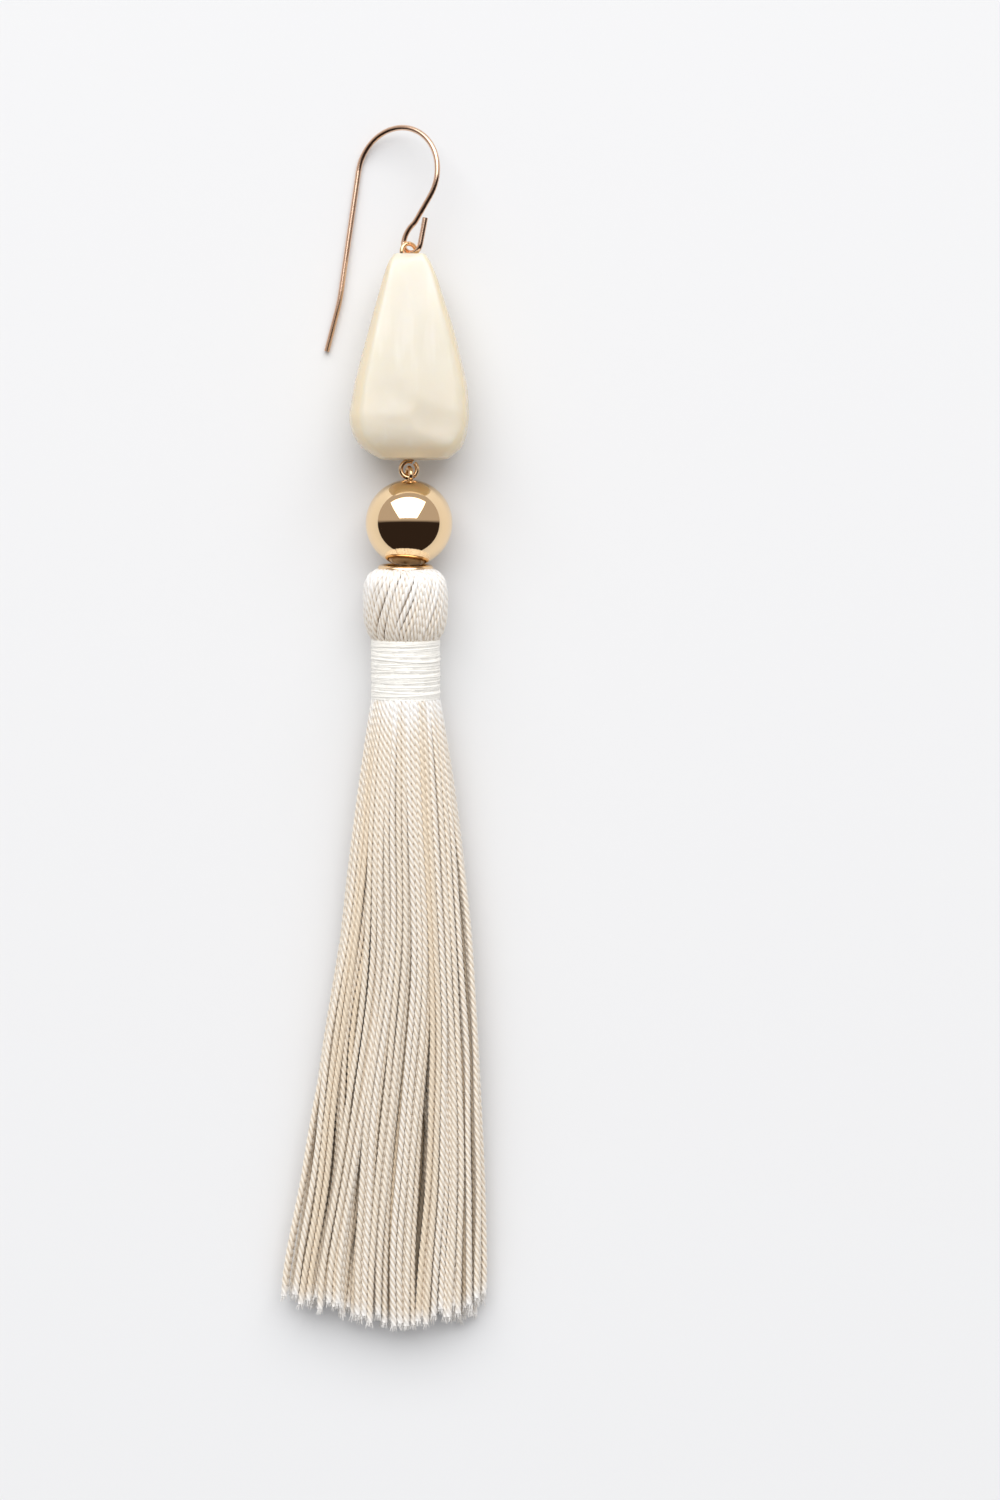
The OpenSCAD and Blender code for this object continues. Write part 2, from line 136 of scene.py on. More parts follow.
# Share of the length from the narrow end, reach to the left and right as shares of half the
# width, heights of the underside and of the front as shares of the thickness.
stone_rows = np.array([
    [0.000, 0.26, 0.28, 0.32, 0.71],
    [0.035, 0.35, 0.36, 0.16, 0.78],
    [0.110, 0.43, 0.47, 0.06, 0.82],
    [0.220, 0.53, 0.59, 0.02, 0.845],
    [0.360, 0.67, 0.74, 0.00, 0.88],
    [0.500, 0.79, 0.86, 0.00, 0.915],
    [0.650, 0.92, 0.97, 0.00, 0.95],
    [0.800, 1.00, 1.00, 0.00, 0.985],
    [0.890, 0.93, 0.96, 0.03, 0.98],
    [0.960, 0.77, 0.86, 0.12, 0.91],
    [1.000, 0.50, 0.66, 0.28, 0.78]])
# Corners of its section: share of the reach to that side, share of the height.
stone_corners = [(0.80, 1.00), (0.96, 0.84), (1.00, 0.56), (0.96, 0.26), (0.72, 0.00),
                 (-0.72, 0.00), (-0.96, 0.26), (-1.00, 0.56), (-0.96, 0.84), (-0.80, 1.00)]
# Further than any reach in the stone.
FAR = 1e9


def mesh_object(name, points, faces):
    """A smooth-shaded mesh object in metres from points in millimetres."""
    mesh = bpy.data.meshes.new(name)
    mesh.from_pydata((np.asarray(points, float) * MM).tolist(), [], faces)
    mesh.update()
    for polygon in mesh.polygons:
        polygon.use_smooth = True
    obj = bpy.data.objects.new(name, mesh)
    bpy.context.collection.objects.link(obj)
    return obj


def ring_faces(rings, sides):
    """Quads between rings of equal count, of which the last joins the first."""
    faces = []
    for i in range(rings):
        a, b = i * sides, (i + 1) % rings * sides
        for j in range(sides):
            k = (j + 1) % sides
            faces.append((a + j, a + k, b + k, b + j))
    return faces


def soft(values, width):
    """Smoothed along axis 0, with the ends carried on straight."""
    reach = int(3 * width) + 1
    kernel = np.exp(-0.5 * (np.arange(-reach, reach + 1) / width) ** 2)
    kernel /= kernel.sum()
    before = 2 * values[0] - values[reach:0:-1]
    after = 2 * values[-1] - values[-2:-reach - 2:-1]
    long = np.concatenate([before, values, after])
    return np.array([np.convolve(column, kernel, "valid") for column in long.T]).T


def section_radii(row, half_width, angles):
    """Distance from the bore to the corners' polygon in each direction."""
    corners = np.array([[x * half_width * (row[1] if x > 0 else row[0]),
                         (row[2] + h * (row[3] - row[2])) * STONE_THICK - BORE_Z]
                        for x, h in stone_corners])
    turn = np.column_stack([np.cos(angles), np.sin(angles)])
    best = np.full(len(angles), FAR)
    for a, b in zip(corners, np.roll(corners, -1, axis=0)):
        edge = b - a
        cross = turn[:, 0] * edge[1] - turn[:, 1] * edge[0]
        cross = np.where(abs(cross) < 1e-12, 1e-12, cross)
        reach = (a[0] * edge[1] - a[1] * edge[0]) / cross
        along = (a[0] * turn[:, 1] - a[1] * turn[:, 0]) / cross
        hit = (reach > 0) & (along >= -1e-9) & (along <= 1 + 1e-9)
        best = np.where(hit & (reach < best), reach, best)
    return best


# Facets on the right half of the front: share of the length and of the reach to the right where
# each touches the front, and its lean to the right and towards the narrow end, in degrees.
stone_facets = [(0.27, 0.20, 8.0, 9.5), (0.47, 0.16, 9.0, 5.5), (0.68, 0.22, 8.0, 1.5)]


def facet_radii(shares, table, length, half_width, angles):
    """How far the facets let the skin reach in each direction."""
    reach = np.full((len(shares), len(angles)), FAR)
    for share, across, right, upward in np.array(stone_facets):
        x = across * half_width * np.interp(share, shares, table[:, 1])
        z = np.interp(share, shares, table[:, 3]) * STONE_THICK - BORE_Z
        a, b = math.radians(right), math.radians(upward)
        lean = (math.sin(a) * math.cos(b), math.sin(b), math.cos(a) * math.cos(b))
        toward = lean[0] * np.cos(angles) + lean[2] * np.sin(angles)
        far = lean[0] * x + lean[1] * (shares - share) * length + lean[2] * z
        reach = np.minimum(reach, np.where(toward > 0.05, far[:, None] / toward.clip(0.05), FAR))
    return reach


def stone_mesh(low, high):
    """The stone as one closed skin: sides, both ends, mouth and bore."""
    length, half_width = high[1] - low[1], (high[0] - low[0]) / 2
    axis_x = (high[0] + low[0]) / 2
    angles = np.arange(STONE_TURNS) * 2 * math.pi / STONE_TURNS
    shares = np.linspace(0, 1, STONE_RINGS)
    table = np.column_stack([np.interp(shares, stone_rows[:, 0], stone_rows[:, i])
                             for i in range(1, 5)])
    table = soft(table, 3.2)
    radii = np.array([section_radii(row, half_width, angles) for row in table])
    radii = np.minimum(radii, facet_radii(shares, table, length, half_width, angles))
    wrapped = np.concatenate([soft(radii, 2.2)] * 3, axis=1)
    radii = soft(wrapped.T, 1.5).T[:, STONE_TURNS:2 * STONE_TURNS]
    wave = (np.sin(3 * angles[None, :] + 5 * shares[:, None] * 2.1)
            * np.sin(2 * angles[None, :] - 9 * shares[:, None] + 1.0))
    radii += UNEVEN * wave
    rings = [(high[1] - share * length, r) for share, r in zip(shares, radii)]

    def end(y, outer, inner, rise, count):
        """Rings from an end's edge in to a hole, over a low dome."""
        made = []
        for i in range(1, count + 1):
            t = i / count
            keep = math.cos(t * math.pi / 2)
            made.append((y + rise * math.sin(t * math.pi / 2),
                         inner + (outer - inner) * keep))
        return made

    even = np.ones(STONE_TURNS)
    bottom = end(low[1], radii[-1], BORE_R * even, -END_DOME, 10)
    top = end(high[1], radii[0], 0.94 * MOUTH_R * even, 0.0, 7)[::-1]
    seat = high[1] - MOUTH_DEPTH
    bore = [(y, r * even) for y, r in (
        (low[1] + 0.3, BORE_R), (seat - 0.25, BORE_R), (seat, BORE_R + 0.25),
        (seat + 0.1, MOUTH_R * 0.8), (seat + 0.35, MOUTH_R * 0.9), (high[1] - 0.15, MOUTH_R * 0.92))]
    rings = rings + bottom + bore + top
    points = np.concatenate([
        np.column_stack([axis_x + r * np.cos(angles), np.full(STONE_TURNS, y),
                         BORE_Z + r * np.sin(angles)])
        for y, r in rings])
    points[:, 2] = np.maximum(points[:, 2], 0.0)
    return mesh_object("stone_skin", points, ring_faces(len(rings), STONE_TURNS))


def ramp(tree, value, first, last, between=()):
    """A colour that goes with a value from 0 to 1, by way of the stops between."""
    node = tree.nodes.new("ShaderNodeValToRGB")
    stops = node.color_ramp.elements
    stops[0].color, stops[1].color = (*first, 1), (*last, 1)
    for at, colour in between:
        stops.new(at).color = (*colour, 1)
    tree.links.new(value, node.inputs["Fac"])
    return node.outputs["Color"]


def mixed(tree, share, first, second):
    """Two colours mixed by a share. Each is a socket or three plain values."""
    node = add(tree, "ShaderNodeMix", data_type="RGBA")
    tree.links.new(share, node.inputs[0])
    for number, colour in ((6, first), (7, second)):
        if isinstance(colour, tuple):
            node.inputs[number].default_value = (*colour, 1)
        else:
            tree.links.new(colour, node.inputs[number])
    return node.outputs[2]


def mapped(tree, value, **ends):
    """A value brought from one range to another, and kept inside it."""
    node = add(tree, "ShaderNodeMapRange", **ends)
    tree.links.new(value, node.inputs["Value"])
    return node.outputs["Result"]


low, high = (np.array(corner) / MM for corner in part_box("stone"))
stone = stone_mesh(low, high)
milky, tree, shader = new_material("milky_stone", (0.93, 0.89, 0.80), 0.22)
place = tree.nodes.new("ShaderNodeTexCoord")
parts = tree.nodes.new("ShaderNodeSeparateXYZ")
tree.links.new(place.outputs["Object"], parts.inputs[0])
zones = ramp(tree, mapped(tree, parts.outputs["Y"], From_Min=high[1] * MM, From_Max=low[1] * MM),
             (0.80, 0.74, 0.64), (0.74, 0.63, 0.46),
             [(0.25, (0.76, 0.71, 0.60)), (0.55, (0.69, 0.635, 0.50)), (0.80, (0.68, 0.60, 0.46))])
# Growth bands run the stone's length, under the clouds.
drawn = tree.nodes.new("ShaderNodeMapping")
drawn.inputs["Scale"].default_value = (1.0, 0.16, 0.6)
tree.links.new(place.outputs["Object"], drawn.inputs["Vector"])
bands = add(tree, "ShaderNodeTexNoise", Scale=620, Detail=2)
tree.links.new(drawn.outputs["Vector"], bands.inputs["Vector"])
veins = mapped(tree, bands.outputs["Fac"], From_Min=0.52, From_Max=0.66, To_Max=0.5)
veil = mixed(tree, veins, zones, (0.84, 0.81, 0.74))
cloudy = mixed(tree, surface_noise(tree, 160, 3, 0.55), (0.74, 0.70, 0.61), veil)
# Painted shade: where the skin turns away from the front, its colour is made darker and warmer,
# standing in for the deeper look of the bevels.
facing = tree.nodes.new("ShaderNodeNewGeometry")
upward = tree.nodes.new("ShaderNodeSeparateXYZ")
tree.links.new(facing.outputs["Normal"], upward.inputs[0])
painted_bevel_shade = mapped(tree, upward.outputs["Z"], From_Min=0.97, From_Max=0.70)
tree.links.new(mixed(tree, painted_bevel_shade, cloudy, (0.76, 0.66, 0.49)), shader.inputs["Base Color"])
shader.inputs["Subsurface Weight"].default_value = 0.85
shader.inputs["Subsurface Radius"].default_value = (1.0, 0.85, 0.6)
shader.inputs["Subsurface Scale"].default_value = 0.004
shader.inputs["IOR"].default_value = 1.55
bump(tree, shader, surface_noise(tree, 220, 2), 0.18, 0.0006)
paint(stone, milky)
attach(stone, "root")
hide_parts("stone")


# Ball: two domes pressed from thin gold-filled sheet, soldered, drilled and polished like a
# mirror, with the two holes' lips turned slightly in.
BALL_R = 5.0
BALL_WALL = 0.4
BALL_HOLE_R = 0.95
BALL_SIDES = 160
LIP = 0.14


def turned(profile, sides):
    """Rings of points turned about Y, from rows of radius and place on Y."""
    turn = np.arange(sides) * 2 * math.pi / sides
    return np.concatenate([np.column_stack([r * np.cos(turn), np.full(sides, y), r * np.sin(turn)])
                           for r, y in profile])


def ball_profile():
    """Rows of radius and place on Y: outside, lip, inside and lip again."""
    edge = math.asin((BALL_HOLE_R + LIP) / BALL_R)
    outer = [(BALL_R * math.sin(t), BALL_R * math.cos(t))
             for t in np.linspace(edge, math.pi - edge, 121)]
    inner_r = BALL_R - BALL_WALL
    shut = math.asin(BALL_HOLE_R / inner_r)
    inner = [(inner_r * math.sin(t), inner_r * math.cos(t))
             for t in np.linspace(math.pi - shut, shut, 61)]
    rim = outer[-1][1]
    low_lip = [(BALL_HOLE_R + LIP * (1 - math.sin(t)), rim + LIP * (1 - math.cos(t)))
               for t in np.linspace(0.3, math.pi / 2, 5)]
    high_lip = [(r, -y) for r, y in low_lip[::-1]]
    return outer + low_lip + inner + high_lip


low, high = (np.array(corner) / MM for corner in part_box("ball_bead"))
ball_centre = (low + high) / 2
ball_rows = ball_profile()
ball = mesh_object("ball_skin", turned(ball_rows, BALL_SIDES) + ball_centre,
                   ring_faces(len(ball_rows), BALL_SIDES))
ball_gold, tree, shader = new_material("ball_gold", (0.92, 0.69, 0.42), 0.035, 1.0)
bump(tree, shader, surface_noise(tree, 260, 2), 0.05, 0.0002)
paint(ball, ball_gold)
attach(ball, "root")
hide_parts("ball_bead")


# Collar ring: thicker gold wire, bent round a peg, soldered shut and polished. It lies loose
# round the ball's wire and keeps the ball off the cords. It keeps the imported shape.
ring_gold, tree, shader = new_material("ring_gold", (0.90, 0.66, 0.41), 0.12, 1.0)
bump(tree, shader, surface_noise(tree, 700, 2), 0.1, 0.00006)
paint(nodes["collar_ring"], ring_gold)


# Tassel cords: three-ply silky cords, 0.6 mm thick, folded over into a round head and hanging as
# a skirt. Where they lie they press each other flat and apart, and their ends are cut by hand.
CORD_D = 0.6
PLY_LEAD = 2.6
PLY_DEPTH = 0.38
SKIRT_CORDS = 140
SKIRT_GROUPS = 4
SKIRT_L = 72.2
SKIRT_W = 23.6
NECK_Z = 4.02
TASSEL_RISE = math.radians(6.5)
CUT_GAP = 0.45
UNDER_BINDING = 0.8
LOCKS = 26
# How far the cords of a lock are drawn to its middle, and how often they are pushed apart.
LOCK_PULL = 0.24
PUSHES = 46
STATIONS = 73
chance = np.random.default_rng(11)
# Down the skirt: share of its length, reach to the left and right as shares of its width, height
# as a share of the neck's, and squareness of the section.
skirt_rows = np.array([
    [0.00, 0.168, 0.168, 1.00, 2.0],
    [0.09, 0.208, 0.215, 0.98, 2.1],
    [0.22, 0.264, 0.270, 0.92, 2.3],
    [0.38, 0.320, 0.325, 0.83, 2.5],
    [0.57, 0.412, 0.357, 0.73, 2.8],
    [0.76, 0.506, 0.380, 0.64, 3.0],
    [0.92, 0.602, 0.388, 0.57, 3.2],
    [1.00, 0.612, 0.388, 0.54, 3.2]])
# The cords under the binding, in rings: how many, and how far out, as a share of the reach.
skirt_rings = [(44, 1.0), (40, 0.86), (28, 0.70), (16, 0.52), (8, 0.34), (4, 0.18)]


def inputs_of(tree, sockets):
    """Named inputs for a Geometry Nodes tree, and its group input and output nodes."""
    tree.interface.new_socket("Geometry", in_out="INPUT", socket_type="NodeSocketGeometry")
    made = {}
    for name, kind, value in sockets:
        socket = tree.interface.new_socket(name, in_out="INPUT", socket_type=kind)
        if value is not None:
            socket.default_value = value
        made[name] = socket.identifier
    tree.interface.new_socket("Geometry", in_out="OUTPUT", socket_type="NodeSocketGeometry")
    return made, tree.nodes.new("NodeGroupInput"), tree.nodes.new("NodeGroupOutput")


def math_node(tree, operation, a, b):
    """The result of a Math node on two sockets or numbers."""
    node = tree.nodes.new("ShaderNodeMath")
    node.operation = operation
    for i, value in enumerate((a, b)):
        if isinstance(value, (int, float)):
            node.inputs[i].default_value = value
        else:
            tree.links.new(value, node.inputs[i])
    return node.outputs[0]


def named(tree, attribute):
    """An attribute that the guide's points carry."""
    node = add(tree, "GeometryNodeInputNamedAttribute", data_type="FLOAT")
    node.inputs["Name"].default_value = attribute
    return node.outputs["Attribute"]


def cord_tree():
    """Lays a lobed cord along each chain of edges, its plies wound round it."""
    tree = bpy.data.node_groups.new("twisted_cord", "GeometryNodeTree")
    ids, source, sink = inputs_of(tree, [
        ("Cord Radius", "NodeSocketFloat", CORD_D / 2 * MM),
        ("Ply Lead", "NodeSocketFloat", PLY_LEAD * MM),
        ("Ring Spacing", "NodeSocketFloat", PLY_LEAD / 10 * MM),
        ("Ply Depth", "NodeSocketFloat", PLY_DEPTH),
        ("Plies", "NodeSocketInt", 3),
        ("Material", "NodeSocketMaterial", None)])
    link = tree.links.new
    to_curve = tree.nodes.new("GeometryNodeMeshToCurve")
    link(source.outputs["Geometry"], to_curve.inputs["Mesh"])
    resample = tree.nodes.new("GeometryNodeResampleCurve")
    resample.mode = "LENGTH"
    link(to_curve.outputs[0], resample.inputs["Curve"])
    link(source.outputs["Ring Spacing"], resample.inputs["Length"])
    along = tree.nodes.new("GeometryNodeSplineParameter")
    turns = math_node(tree, "DIVIDE", along.outputs["Length"], source.outputs["Ply Lead"])
    tilt = math_node(tree, "MULTIPLY", turns, -2 * math.pi)
    tilt = math_node(tree, "ADD", tilt, named(tree, "phase"))
    twist = tree.nodes.new("GeometryNodeSetCurveTilt")
    link(resample.outputs[0], twist.inputs["Curve"])
    link(tilt, twist.inputs["Tilt"])
    circle = tree.nodes.new("GeometryNodeCurvePrimitiveCircle")
    link(math_node(tree, "MULTIPLY", source.outputs["Plies"], 3.0), circle.inputs["Resolution"])
    circle.inputs["Radius"].default_value = 1.0
    # Every third point of the section lies between two plies, and is drawn in.
    index = tree.nodes.new("GeometryNodeInputIndex")
    between = math_node(tree, "LESS_THAN", math_node(tree, "MODULO", index.outputs[0], 3.0), 0.5)
    groove = math_node(tree, "MULTIPLY", between, source.outputs["Ply Depth"])
    keep = math_node(tree, "SUBTRACT", 1.0, groove)
    position = tree.nodes.new("GeometryNodeInputPosition")
    scaled = tree.nodes.new("ShaderNodeVectorMath")
    scaled.operation = "SCALE"
    link(position.outputs[0], scaled.inputs[0])
    link(keep, scaled.inputs["Scale"])
    lobed = tree.nodes.new("GeometryNodeSetPosition")
    link(circle.outputs[0], lobed.inputs["Geometry"])
    link(scaled.outputs[0], lobed.inputs["Position"])
    marked = add(tree, "GeometryNodeStoreNamedAttribute", data_type="FLOAT", domain="POINT")
    marked.inputs["Name"].default_value = "groove"
    link(lobed.outputs[0], marked.inputs["Geometry"])
    link(between, marked.inputs["Value"])
    skin = tree.nodes.new("GeometryNodeCurveToMesh")
    link(twist.outputs[0], skin.inputs["Curve"])
    link(marked.outputs[0], skin.inputs["Profile Curve"])
    link(math_node(tree, "MULTIPLY", source.outputs["Cord Radius"], named(tree, "thick")),
         skin.inputs["Scale"])
    skin.inputs["Fill Caps"].default_value = True
    smooth = tree.nodes.new("GeometryNodeSetShadeSmooth")
    link(skin.outputs[0], smooth.inputs[0])
    real = tree.nodes.new("GeometryNodeRealizeInstances")
    link(smooth.outputs[0], real.inputs[0])
    finish = tree.nodes.new("GeometryNodeSetMaterial")
    link(real.outputs[0], finish.inputs["Geometry"])
    link(source.outputs["Material"], finish.inputs["Material"])
    link(finish.outputs[0], sink.inputs[0])
    return tree, ids


def corded(name, paths, attributes, values):
    """A plain mesh of cords along paths of points in millimetres, each with its attributes."""
    points = np.concatenate(paths) * MM
    edges, at = [], 0
    for path in paths:
        edges += [(at + i, at + i + 1) for i in range(len(path) - 1)]
        at += len(path)
    mesh = bpy.data.meshes.new(name)
    mesh.from_pydata(points.tolist(), edges, [])
    for key, rows in attributes.items():
        layer = mesh.attributes.new(key, "FLOAT", "POINT")
        layer.data.foreach_set("value", np.concatenate(rows).astype(np.float32))
    guide = bpy.data.objects.new(name + "_guide", mesh)
    bpy.context.collection.objects.link(guide)
    modifier = guide.modifiers.new("cords", "NODES")
    modifier.node_group, sockets = cord_nodes
    for key, value in values.items():
        modifier[sockets[key]] = value
    bpy.context.view_layer.update()
    evaluated = guide.evaluated_get(bpy.context.evaluated_depsgraph_get())
    made = bpy.data.meshes.new_from_object(evaluated)
    made.name = name
    guide.modifiers.clear()
    bpy.data.objects.remove(guide)
    bpy.data.meshes.remove(mesh)
    obj = bpy.data.objects.new(name, made)
    bpy.context.collection.objects.link(obj)
    return obj


def skirt_place(direction, share, at):
    """Where a cord lies in the skirt's section: its place round the outline, and how far out."""
    row = [np.interp(at, skirt_rows[:, 0], skirt_rows[:, i]) for i in range(5)]
    half = (row[1] + row[2]) / 2 * SKIRT_W - CORD_D / 2
    high = row[3] * NECK_Z
    turn = np.linspace(0, 2 * math.pi, 721)
    across = np.sign(np.cos(turn)) * abs(np.cos(turn)) ** (2 / row[4]) * half
    up = np.sign(np.sin(turn)) * abs(np.sin(turn)) ** (2 / row[4]) * (high - CORD_D / 2)
    # The cords crowd a little on the broad sides.
    gone = np.append(0, np.cumsum(np.hypot(np.diff(across), 0.7 * np.diff(up))))
    place = direction % (2 * math.pi) / (2 * math.pi) * gone[-1]
    # Each ring keeps its depth under the outline, until it lies flat in the middle.
    deep = (1 - share) * (skirt_rows[0, 1] * SKIRT_W - CORD_D / 2)
    flat = np.maximum(0, 1 - deep / (high - CORD_D / 2))
    return np.stack([(row[2] - row[1]) / 2 * SKIRT_W
                     + np.interp(place, gone, across) * (1 - deep / half),
                     high + np.interp(place, gone, up) * flat], axis=-1)


def lay_skirt():
    """Each cord's places in the skirt's sections, pushed apart to a little under its thickness."""
    share = np.concatenate([np.full(count, reach) for count, reach in skirt_rings])
    direction = np.concatenate([2 * math.pi * (np.arange(count) + 0.37 * reach * count) / count
                                for count, reach in skirt_rings])
    direction += chance.normal(0, 0.012, SKIRT_CORDS)
    stations = np.linspace(0, 1, STATIONS)
    laid = np.array([skirt_place(direction, share, at) for at in stations])
    # Cords stick together in locks, which wander a little on their way down.
    seeds = chance.choice(SKIRT_CORDS, LOCKS, replace=False)
    gap = np.linalg.norm((laid[-1][:, None] - laid[-1][None, seeds]) * (1, 1.6), axis=-1)
    lock = gap.argmin(axis=1)
    pull = LOCK_PULL * np.clip((stations - 0.15) / 0.6, 0, 1)
    sway = chance.uniform(0, 2 * math.pi, (2, LOCKS))
    length = chance.uniform(0.5, 1.1, (2, LOCKS))
    size = chance.uniform(0.25, 0.65, LOCKS)
    own = chance.uniform(0, 2 * math.pi, (2, SKIRT_CORDS))
    for s, at in enumerate(stations):
        middle = laid[s][seeds][lock]
        laid[s] += pull[s] * (middle - laid[s])
        calm = min(1.0, at * 3)
        wander = (size * np.sin(sway[0] + 2 * math.pi * at / length[0]))[lock]
        laid[s][:, 0] += calm * (wander + 0.12 * np.sin(own[0] + at * 23))
        laid[s][:, 1] += calm * 0.10 * np.sin(own[1] + at * 17)
    pinned = laid[0].copy()
    for _ in range(PUSHES):
        for s in range(1, STATIONS):
            apart = laid[s][:, None] - laid[s][None]
            far = np.linalg.norm(apart, axis=-1) + np.eye(SKIRT_CORDS)
            room = CORD_D * (0.80 + 0.14 * min(1.0, stations[s] * 4))
            push = np.where(far < room, (room - far) / far, 0) * 0.42
            laid[s] += (apart * push[:, :, None]).sum(axis=1).clip(-0.3, 0.3)
        laid[1:-1] = 0.5 * laid[1:-1] + 0.25 * (laid[:-2] + laid[2:])
        laid[0] = pinned
        for s, at in enumerate(stations):
            row = [np.interp(at, skirt_rows[:, 0], skirt_rows[:, i]) for i in range(4)]
            laid[s][:, 0] = laid[s][:, 0].clip(-row[1] * SKIRT_W + CORD_D / 2,
                                               row[2] * SKIRT_W - CORD_D / 2)
            laid[s][:, 1] = laid[s][:, 1].clip(CORD_D / 2 + 0.02,
                                               2 * row[3] * NECK_Z - CORD_D / 2)
    # The outermost cords keep to the skirt's outline.
    for side, column in ((-1, 1), (1, 2)):
        reach = np.interp(stations, skirt_rows[:, 0], skirt_rows[:, column]) * SKIRT_W - CORD_D / 2
        outer = np.sort(side * laid[:, :, 0], axis=1)[:, -2:].mean(axis=1)
        grow = soft(np.clip(reach / outer, 1, 1.25)[:, None], 3.0)
        laid[:, :, 0] = np.where(side * laid[:, :, 0] > 0, laid[:, :, 0] * grow, laid[:, :, 0])
    laid[0] = pinned
    return laid, lock


def skirt_paths(skirt_x, skirt_y, lean):
    """Each cord's points from under the binding to its cut end, and the lock it belongs to."""
    laid, lock = lay_skirt()
    stations = np.linspace(0, 1, STATIONS)
    lock_cut = chance.normal(0, 0.28, lock.max() + 1)
    paths = []
    for i in range(SKIRT_CORDS):
        off = laid[-1][i, 0] / (SKIRT_W / 2)
        cut = 0.4 + 3.4 * off * off * (1 + 0.25 * off) + lock_cut[lock[i]]
        cut = np.clip(cut + chance.normal(0.35, 0.4), 0.05, 5.5)
        end = 1 - cut / SKIRT_L
        keep = np.append(stations[stations < end - 0.004], end)
        x = np.interp(keep, stations, laid[:, i, 0])
        z = np.interp(keep, stations, laid[:, i, 1])
        y = -keep * SKIRT_L - (z - NECK_Z) * np.maximum(0, 1 - 6 * keep) * lean
        path = np.column_stack([x + skirt_x, y + skirt_y, z])
        # Under the binding the cord is drawn in.
        first = (x[0] * 0.9 + skirt_x, y[0] + UNDER_BINDING + skirt_y,
                 NECK_Z + (z[0] - NECK_Z) * 0.9 + UNDER_BINDING * lean)
        paths.append(np.concatenate([[first], path]))
    return paths, lock


low, high = (np.array(corner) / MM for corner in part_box("neck_binding"))
tassel_x = (low[0] + high[0]) / 2
skirt_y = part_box("tassel_cords")[0][1] / MM + SKIRT_L + CUT_GAP
cord_nodes = cord_tree()

silk, tree, shader = new_material("silky_cord", (0.80, 0.71, 0.61), 0.34)
shade = add(tree, "ShaderNodeAttribute", attribute_name="shade")
tip = add(tree, "ShaderNodeAttribute", attribute_name="tip")
# The cords' tone follows their shade attribute: random tone by lock and cord, with painted light
# added. The warm low end is also the painted shade on the inner cords, and the pale high end is the
# painted highlight below the binding and on the head's top.
tone_and_painted_light = ramp(tree, shade.outputs["Fac"], (0.80, 0.60, 0.36), (0.99, 0.97, 0.94),
            [(0.30, (0.89, 0.79, 0.65)), (0.62, (0.94, 0.87, 0.77))])
# Painted shade: the grooves between the plies are darkened, less so where the painted highlight
# makes the cord pale.
groove = add(tree, "ShaderNodeAttribute", attribute_name="groove")
groove_shade_fade = mapped(tree, shade.outputs["Fac"], From_Min=0.7, From_Max=1.0, To_Min=1.0, To_Max=0.35)
tone_with_painted_groove_shade = mixed(tree, math_node(tree, "MULTIPLY", groove.outputs["Fac"], groove_shade_fade),
              tone_and_painted_light, (0.68, 0.55, 0.40))
# Painted light: the cords' cut ends and their filaments are whitened, standing in for the light they
# catch.
tree.links.new(mixed(tree, tip.outputs["Fac"], tone_with_painted_groove_shade, (0.92, 0.89, 0.85)),
               shader.inputs["Base Color"])
shader.inputs["Sheen Weight"].default_value = 0.45
shader.inputs["Sheen Roughness"].default_value = 0.4
shader.inputs["Specular IOR Level"].default_value = 0.8
bump(tree, shader, surface_noise(tree, 9000, 2), 0.25, 0.00003)

paths, locks = skirt_paths(tassel_x, skirt_y, math.tan(TASSEL_RISE))
group_of = np.argsort(np.argsort([path[-1, 0] for path in paths])) * SKIRT_GROUPS // SKIRT_CORDS
lock_shade = chance.uniform(0.30, 0.70, locks.max() + 1)
OUTER_CORDS = skirt_rings[0][0] + skirt_rings[1][0]
for g in range(SKIRT_GROUPS):
    mine = [i for i in range(SKIRT_CORDS) if group_of[i] == g]
    thick, phase, shades, painted_end_light = [], [], [], []
    for i in mine:
        from_end = paths[i][:, 1] - paths[i][-1, 1]
        from_start = paths[i][0, 1] - paths[i][:, 1]
        thick.append(1.14 + 0.08 * np.clip(1 - from_end / 30, 0, 1)
                     + 0.06 * np.clip(1 - from_start / 20, 0, 1))
        phase.append(np.full(len(paths[i]), chance.uniform(0, 2 * math.pi)))
        own = np.clip(lock_shade[locks[i]] + chance.normal(0, 0.13), 0.2, 0.72)
        # Painted shade: the cords inside the skirt are made darker and warmer, for the shade in the
        # gaps between locks.
        own *= 0.5 if i >= OUTER_CORDS else 1.0
        # Painted highlight: each cord is paler for its first few millimetres below the binding.
        shades.append(np.clip(own + 0.55 * np.exp(-(from_start / 3.8) ** 2), 0, 1))
        # Painted light: the last 1.6 mm before each cut end is whitened.
        painted_end_light.append(np.clip(1 - from_end / 1.6, 0, 1))
    cords = corded("skirt_cords_%d" % (g + 1), [paths[i] for i in mine],
                   {"thick": thick, "phase": phase, "shade": shades, "tip": painted_end_light},
                   {"Cord Radius": CORD_D / 2 * MM, "Ply Lead": PLY_LEAD * MM,
                    "Ring Spacing": PLY_LEAD / 10 * MM, "Ply Depth": PLY_DEPTH, "Plies": 3,
                    "Material": silk})
    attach(cords, "root")
    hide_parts("tassel_cords")


